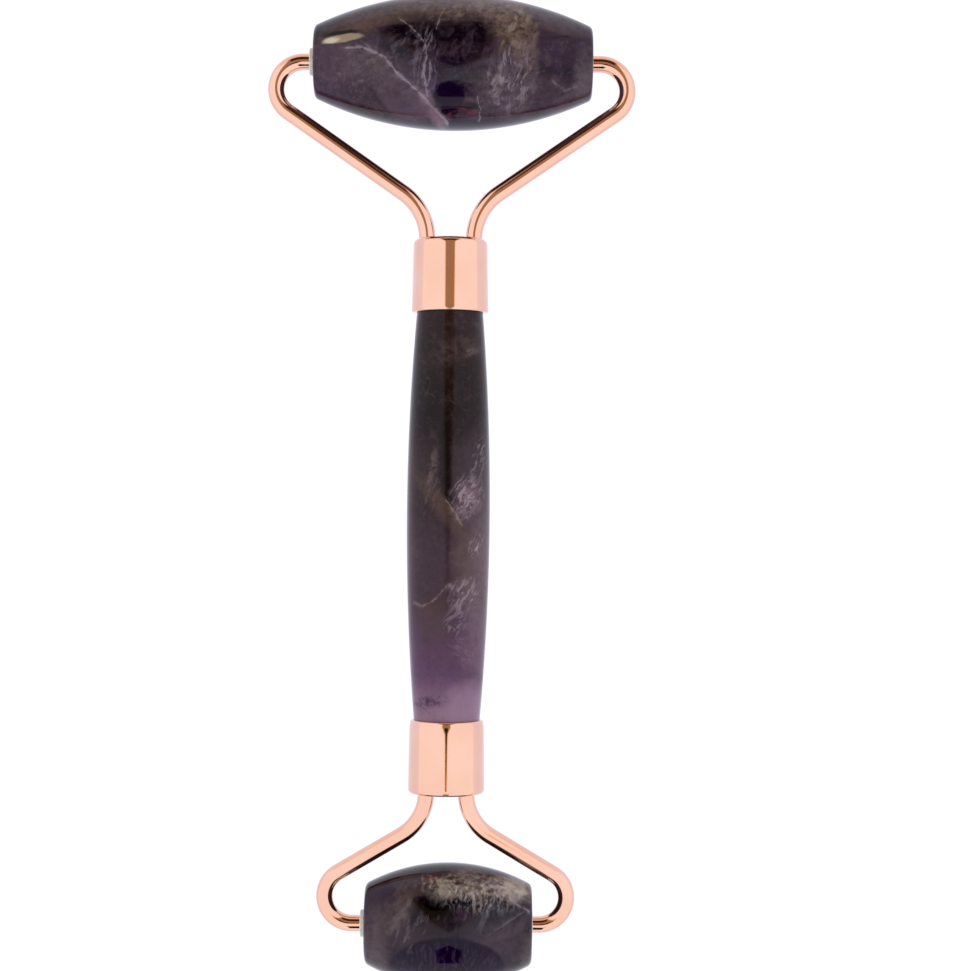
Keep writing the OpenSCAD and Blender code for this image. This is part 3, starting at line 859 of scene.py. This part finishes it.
class FACEROLLER_OT_camera(bpy.types.Operator):
    """Place the camera straight above the roller"""

    bl_idname = "face_roller.camera"
    bl_label = "Camera"

    def execute(self, context):
        data = bpy.data.cameras.new("camera")
        data.sensor_width = 36.0
        data.lens = data.sensor_width * CAMERA_HEIGHT / SEEN_WIDTH
        data.shift_y = CAMERA_SHIFT
        data.clip_start, data.clip_end = 0.01, 20.0
        camera = placed("camera", data)
        middle = (AXLES["large"] + AXLES["small"]) / 2
        back = Vector((-math.sin(CAMERA_TURN), math.cos(CAMERA_TURN), 0.0))
        back *= data.shift_y * SEEN_WIDTH
        camera.location = middle + CAMERA_AIM - back + Vector((0.0, 0.0, CAMERA_HEIGHT))
        camera.rotation_euler = (0.0, 0.0, CAMERA_TURN)
        context.scene.camera = camera
        return {"FINISHED"}


class FACEROLLER_OT_handle(bpy.types.Operator):
    """Turn the crowned stone handle with its two tenons"""

    bl_idname = "face_roller.handle"
    bl_label = "Handle"

    def execute(self, context):
        sizes = context.scene.roller_sizes
        low, high = extent("handle")
        starts = extent("small_ferrule")[1].y, extent("large_ferrule")[0].y
        middle, half = sum(starts) / 2, (starts[1] - starts[0]) / 2
        tenon = girth("handle", high.y, 0.6 * MM)
        rise = high.x - tenon
        crown = (half * half + rise * rise) / (2 * rise)
        swing = math.degrees(math.asin(half / crown))
        outline = [(low.y, 0.0), (low.y, tenon - TENON_CHAMFER), (low.y + TENON_CHAMFER, tenon)]
        outline += arc((middle, high.x - crown), crown, 90 + swing, 90 - swing, 72)
        outline += [(high.y - TENON_CHAMFER, tenon), (high.y, tenon - TENON_CHAMFER), (high.y, 0.0)]
        piece = settle("handle_stone", lathe(outline, sizes.steps_round, 1), handle_stone())
        hand_over(piece, "frame", "handle")
        return {"FINISHED"}


class FACEROLLER_OT_ferrules(bpy.types.Operator):
    """Draw the two ferrules, with the holes that the wires come through"""

    bl_idname = "face_roller.ferrules"
    bl_label = "Ferrules"

    def execute(self, context):
        sizes = context.scene.roller_sizes
        gold = rose_gold("ferrule_gold", context.scene.roller_colours.gold, (0.5, 14.0, 0.5), 0.035)
        for end in ENDS:
            self.ferrule(context, sizes, end, gold)
        return {"FINISHED"}

    def ferrule(self, context, sizes, end, gold):
        """One drawn cup, with its wire end at +Y on the large fork and at -Y on the small one."""
        name = f"{end}_ferrule"
        low, high = extent(name)
        outward = 1 if end == "large" else -1
        wire_end, mouth = (high.y, low.y) if outward > 0 else (low.y, high.y)
        shoulder = getattr(sizes, f"{end}_shoulder")
        edge = sizes.mouth_edge
        wire_end_r = girth(name, wire_end - outward * shoulder)
        mouth_r = girth(name, mouth + outward * edge)
        rise = math.degrees(math.atan2(mouth_r - wire_end_r, abs(wire_end - mouth)))
        wall = wire_end - outward * sizes.end_wall
        outer = [(wire_end, 0.0), (wire_end, wire_end_r - shoulder - END_FLAT)]
        outer += [(wire_end - outward * (shoulder - a), wire_end_r - shoulder + b)
                  for a, b in arc((0.0, 0.0), shoulder, 0, 90 - rise, 12)]
        straight = Vector(outer[-1])
        turn_in = Vector((mouth + outward * edge, mouth_r))
        roll = sizes.small_roll if end == "small" else 0.0
        for share in FERRULE_RINGS:
            along, out = straight.lerp(turn_in, share)
            rolled = max(0.0, (share - ROLL_START) / (1.0 - ROLL_START))
            outer.append((along, out - roll * rolled ** 2))
        outer += [(mouth + outward * (edge - a), mouth_r - roll - edge + b)
                  for a, b in arc((0.0, 0.0), edge, 80 - rise, 0, 8)]
        bore = sizes.ferrule_bore
        outer += [(mouth, bore + BORE_EDGE), (mouth + outward * BORE_EDGE, bore),
                  (wall, bore), (wall, 0.0)]
        cup = placed("cup", lathe(outer, sizes.steps_round, 1))
        mesh = self.drilled(context, cup, end, wire_end, sizes)
        piece = settle(name + "_gold", mesh, gold, sharp=32.0)
        bpy.data.objects.remove(cup)
        hand_over(piece, "frame", name)

    def drilled(self, context, cup, end, wire_end, sizes):
        """The cup's mesh with two holes for the wires."""
        leg = extent(f"{end}_right_arm")[0].x + FRAME_WIRE_RADIUS
        hole = sizes.wire_radius + WIRE_HOLE_GAP
        for side in (-1, 1):
            rod = lathe([(-DRILL_REACH, 0.0), (-DRILL_REACH, hole), (DRILL_REACH, hole),
                         (DRILL_REACH, 0.0)], 64, 1)
            rod.transform(Matrix.Translation((side * leg, wire_end, 0.0)))
            tool = placed("drill", rod)
            cut = cup.modifiers.new("hole", "BOOLEAN")
            cut.operation, cut.solver, cut.object = "DIFFERENCE", "EXACT", tool
            graph = context.evaluated_depsgraph_get()
            made = bpy.data.meshes.new_from_object(cup.evaluated_get(graph))
            cup.modifiers.remove(cut)
            cup.data = made
            bpy.data.objects.remove(tool)
        return made


class FACEROLLER_OT_wires(bpy.types.Operator):
    """Bend the four fork wires"""

    bl_idname = "face_roller.wires"
    bl_label = "Fork wires"

    def execute(self, context):
        sizes = context.scene.roller_sizes
        gold = rose_gold("wire_gold", context.scene.roller_colours.gold, (3.0, 3.0, 3.0), 0.04)
        tree = wire_tree()
        for end in ENDS:
            for side in SIDES:
                path = self.path(end, side, sizes)
                wire = grown(path, tree, {"Wire radius": sizes.wire_radius, "Material": gold})
                piece = settle(f"{end}_{side}_wire", wire, gold, sharp=50.0)
                hand_over(piece, "frame", f"{end}_{side}_arm")
        return {"FINISHED"}

    def path(self, end, side, sizes):
        """The wire's corners before they are bent, each with its bend radius."""
        inward = -1 if end == "large" else 1
        low, high = extent(f"{end}_right_arm")
        ferrule = extent(f"{end}_ferrule")
        wire_end = ferrule[1].y if end == "large" else ferrule[0].y
        eye, leg_bend = sizes.eye_bend, getattr(sizes, f"{end}_leg_bend")
        half = high.x - sizes.wire_radius
        leg = low.x + FRAME_WIRE_RADIUS
        drop = abs(AXLE_Y[end] - wire_end)
        root = abs(AXLE_Y[end] - (low.y if end == "large" else high.y))
        stone_low, stone_high = extent(f"{end}_roller")
        tip = (stone_high.x - stone_low.x) / 2 - sizes.wire_reach
        first, second = Vector((half - eye, eye)), Vector((leg + leg_bend, drop))
        apart = second - first
        lean = math.atan2(apart.x, apart.y) + math.acos((eye + leg_bend) / apart.length)
        eye_corner = first.x + eye * math.tan((math.pi - lean) / 2)
        leg_corner = drop - leg_bend * math.tan((math.pi / 2 - lean) / 2)
        corners = [(tip, 0.0, 0.0), (eye_corner, 0.0, eye), (leg, leg_corner, leg_bend),
                   (leg, root, 0.0)]
        across = -1 if side == "left" else 1
        mesh = bpy.data.meshes.new("path")
        points = [(across * x, AXLE_Y[end] + inward * y, 0.0) for x, y, _ in corners]
        mesh.from_pydata(points, [(i, i + 1) for i in range(len(points) - 1)], [])
        bend = mesh.attributes.new("bend", "FLOAT", "POINT")
        bend.data.foreach_set("value", [radius for _, _, radius in corners])
        return mesh


class FACEROLLER_OT_stones(bpy.types.Operator):
    """Turn and drill the two barrel-shaped stones"""

    bl_idname = "face_roller.stones"
    bl_label = "Stones"

    def execute(self, context):
        sizes = context.scene.roller_sizes
        tree = barrel_tree()
        finishes = {"large": large_stone, "small": small_stone}
        for end in ENDS:
            low, high = extent(f"{end}_roller")
            material = finishes[end]()
            stone = grown(bpy.data.meshes.new("blank"), tree, {
                "Length": high.x - low.x, "Middle radius": (high.z - low.z) / 2,
                "End radius": getattr(sizes, f"{end}_end"),
                "Edge rounding": getattr(sizes, f"{end}_edge"), "Bore radius": sizes.stone_bore,
                "Rings": round((high.x - low.x) / STONE_RING), "Steps round": sizes.steps_round,
                "Material": material})
            self.face_outwards(stone)
            centre = ((low.x + high.x) / 2, AXLE_Y[end], 0.0)
            piece = settle(f"{end}_stone", stone, material, centre)
            hand_over(piece, f"{end}_roller_body", f"{end}_roller")
        return {"FINISHED"}

    def face_outwards(self, mesh):
        """Turns every face of a closed mesh outwards."""
        bm = bmesh.new()
        bm.from_mesh(mesh)
        bmesh.ops.remove_doubles(bm, verts=bm.verts, dist=1e-7)
        bmesh.ops.recalc_face_normals(bm, faces=bm.faces)
        bm.to_mesh(mesh)
        bm.free()


class FACEROLLER_OT_bushes(bpy.types.Operator):
    """Mould the four flanged bushes"""

    bl_idname = "face_roller.bushes"
    bl_label = "Bushes"

    def execute(self, context):
        sizes = context.scene.roller_sizes
        plastic = bush_plastic("bush_plastic", context.scene.roller_colours.bush)
        for end in ENDS:
            for side in SIDES:
                self.bush(sizes, end, side, plastic)
        return {"FINISHED"}

    def bush(self, sizes, end, side, plastic):
        """One sleeve with its rounded flange outwards."""
        name = f"{end}_{side}_bush"
        low, high = extent(name)
        outward = -1 if side == "left" else 1
        face, tail = (low.x, high.x) if outward < 0 else (high.x, low.x)
        back = face - outward * sizes.flange_thick
        edge = BUSH_EDGE
        rim = sizes.flange - edge
        outline = [(face, sizes.bush_bore + edge)]
        outline += [(face - outward * (edge - a), rim + b)
                    for a, b in arc((0.0, 0.0), edge, 0, 90, 6)]
        outline += [(back, sizes.flange), (back, sizes.stone_bore), (tail, sizes.stone_bore),
                    (tail, sizes.bush_bore), (face - outward * edge, sizes.bush_bore)]
        piece = settle(f"{name}_sleeve", lathe(outline, 72, 0), plastic, (0.0, AXLE_Y[end], 0.0))
        hand_over(piece, f"{end}_roller_body", name)


class FACEROLLER_OT_inner(bpy.types.Operator):
    """Finish the braze and the cement inside the ferrules"""

    bl_idname = "face_roller.inner"
    bl_label = "Braze and cement"

    def execute(self, context):
        colours = context.scene.roller_colours
        braze = grainy("braze_metal", colours.braze, 1.6, 1.0, 0.30, 0.50)
        cement = grainy("set_cement", colours.cement, 0.9, 0.0, 0.55, 0.80)
        for end in ENDS:
            for part, material in (("braze", braze), ("cement", cement)):
                for slot in frame["nodes"][f"{end}_{part}"].material_slots:
                    slot.material = material
        return {"FINISHED"}


class FACEROLLER_OT_stage(bpy.types.Operator):
    """Set up the white floor, the cards overhead and the white surround"""

    bl_idname = "face_roller.stage"
    bl_label = "Stage"

    def execute(self, context):
        colours = context.scene.roller_colours
        self.floor(colours)
        self.cards(colours)
        self.tent(context)
        context.scene.view_settings.view_transform = "Standard"
        return {"FINISHED"}

    def sheet(self, name, points, material):
        """A flat stage piece through the given corners."""
        mesh = bpy.data.meshes.new(name)
        mesh.from_pydata(points, [], [list(range(len(points)))])
        mesh.materials.append(material)
        piece = placed(name, mesh)

    def floor(self, colours):
        """A white, softly glowing floor that the stones rest on."""
        material, surface, web = plain_material("floor_white")
        web.fill(surface, {
            "Base Color": (*[c * FLOOR_SHARE for c in colours.floor], 1.0), "Roughness": 0.9,
            "Emission Color": FLOOR_GLOW, "Emission Strength": FLOOR_GLOW_STRENGTH})
        turns = [2 * math.pi * i / FLOOR_CORNERS for i in range(FLOOR_CORNERS)]
        rim = [(FLOOR_REACH * math.cos(turn), FLOOR_REACH * math.sin(turn), 0.0) for turn in turns]
        self.sheet("floor", rim, material)

    def card(self, name, tint, height, half):
        """A flat card overhead that shines with its tint, from (half width, place along Y)
        corners."""
        material, surface, web = plain_material(name)
        web.fill(surface, {
            "Base Color": (0.0, 0.0, 0.0, 1.0), "Specular IOR Level": 0.0,
            "Emission Color": (*tint, 1.0), "Emission Strength": 1.0})
        corners = [(x, y, height) for x, y in half] + [(-x, y, height) for x, y in reversed(half)]
        self.sheet(name, corners, material)

    def cards(self, colours):
        """The dim gap, wider towards the large roller, with its warm edge, and three dark cards."""
        gap = [(0.002, -0.12), (0.028, -0.085), (0.12, 0.06), (0.158, 0.17), (0.60, 1.2)]
        for name, tint, height, half in (
                ("gap", colours.slot, 0.60, gap),
                ("gap_edge", (1.2, 0.86, 0.50), 0.602, [(x + 0.025, y) for x, y in gap]),
                ("shade", (0.02, 0.015, 0.012), 0.595,
                 [(0.003, -0.118), (0.02, -0.085), (0.045, -0.03), (0.058, 0.055)]),
                ("far_shade", (0.06, 0.025, 0.015), 0.59,
                 [(0.15, 0.33), (0.35, 0.75), (0.54, 1.2)]),
                ("room", (0.01, 0.01, 0.012), 0.58,
                 [(0.16, -1.5), (0.13, -0.9), (0.107, -0.55), (0.05, -0.47), (0.01, -0.40)])):
            self.card(name, tint, height, half)

    def tent(self, context):
        """White light from all round, a little warmer behind the large roller."""
        world = bpy.data.worlds.new("tent")
        world.use_nodes = True
        context.scene.world = world
        web = Web(world.node_tree)
        light = world.node_tree.nodes["Background"]
        direction = web.add("ShaderNodeTexCoord").node.outputs["Generated"]
        behind = web.fade(web.split(direction)[1], 0.55, 0.95)
        web.feed(light.inputs["Color"], web.mix(behind, (1.0, 1.0, 1.0), (0.80, 0.62, 0.46)))
        light.inputs["Strength"].default_value = TENT


class FACEROLLER_PT_panel(bpy.types.Panel):
    """Lists the steps that build the face roller"""

    bl_idname = "FACEROLLER_PT_panel"
    bl_label = "Face roller"
    bl_space_type = "VIEW_3D"
    bl_region_type = "UI"
    bl_category = "Face roller"

    def draw(self, context):
        layout = self.layout
        for step in STEPS:
            layout.operator(step.bl_idname)
        for group in (context.scene.roller_sizes, context.scene.roller_colours):
            box = layout.box()
            for name in group.__annotations__:
                box.prop(group, name)


STEPS = (
    FACEROLLER_OT_camera,
    FACEROLLER_OT_handle,
    FACEROLLER_OT_ferrules,
    FACEROLLER_OT_wires,
    FACEROLLER_OT_stones,
    FACEROLLER_OT_bushes,
    FACEROLLER_OT_inner,
    FACEROLLER_OT_stage,
)
CLASSES = (RollerSizes, RollerColours, *STEPS, FACEROLLER_PT_panel)


def register():
    """Registers the classes and hangs the settings on the scene."""
    for item in CLASSES:
        bpy.utils.register_class(item)
    bpy.types.Scene.roller_sizes = PointerProperty(type=RollerSizes)
    bpy.types.Scene.roller_colours = PointerProperty(type=RollerColours)


def unregister():
    """Takes the settings and the classes away again."""
    del bpy.types.Scene.roller_colours
    del bpy.types.Scene.roller_sizes
    for item in reversed(CLASSES):
        bpy.utils.unregister_class(item)


def main():
    """Builds everything in order."""
    register()
    for step in STEPS:
        family, name = step.bl_idname.split(".")
        getattr(getattr(bpy.ops, family), name)()


if __name__ == "__main__":
    main()
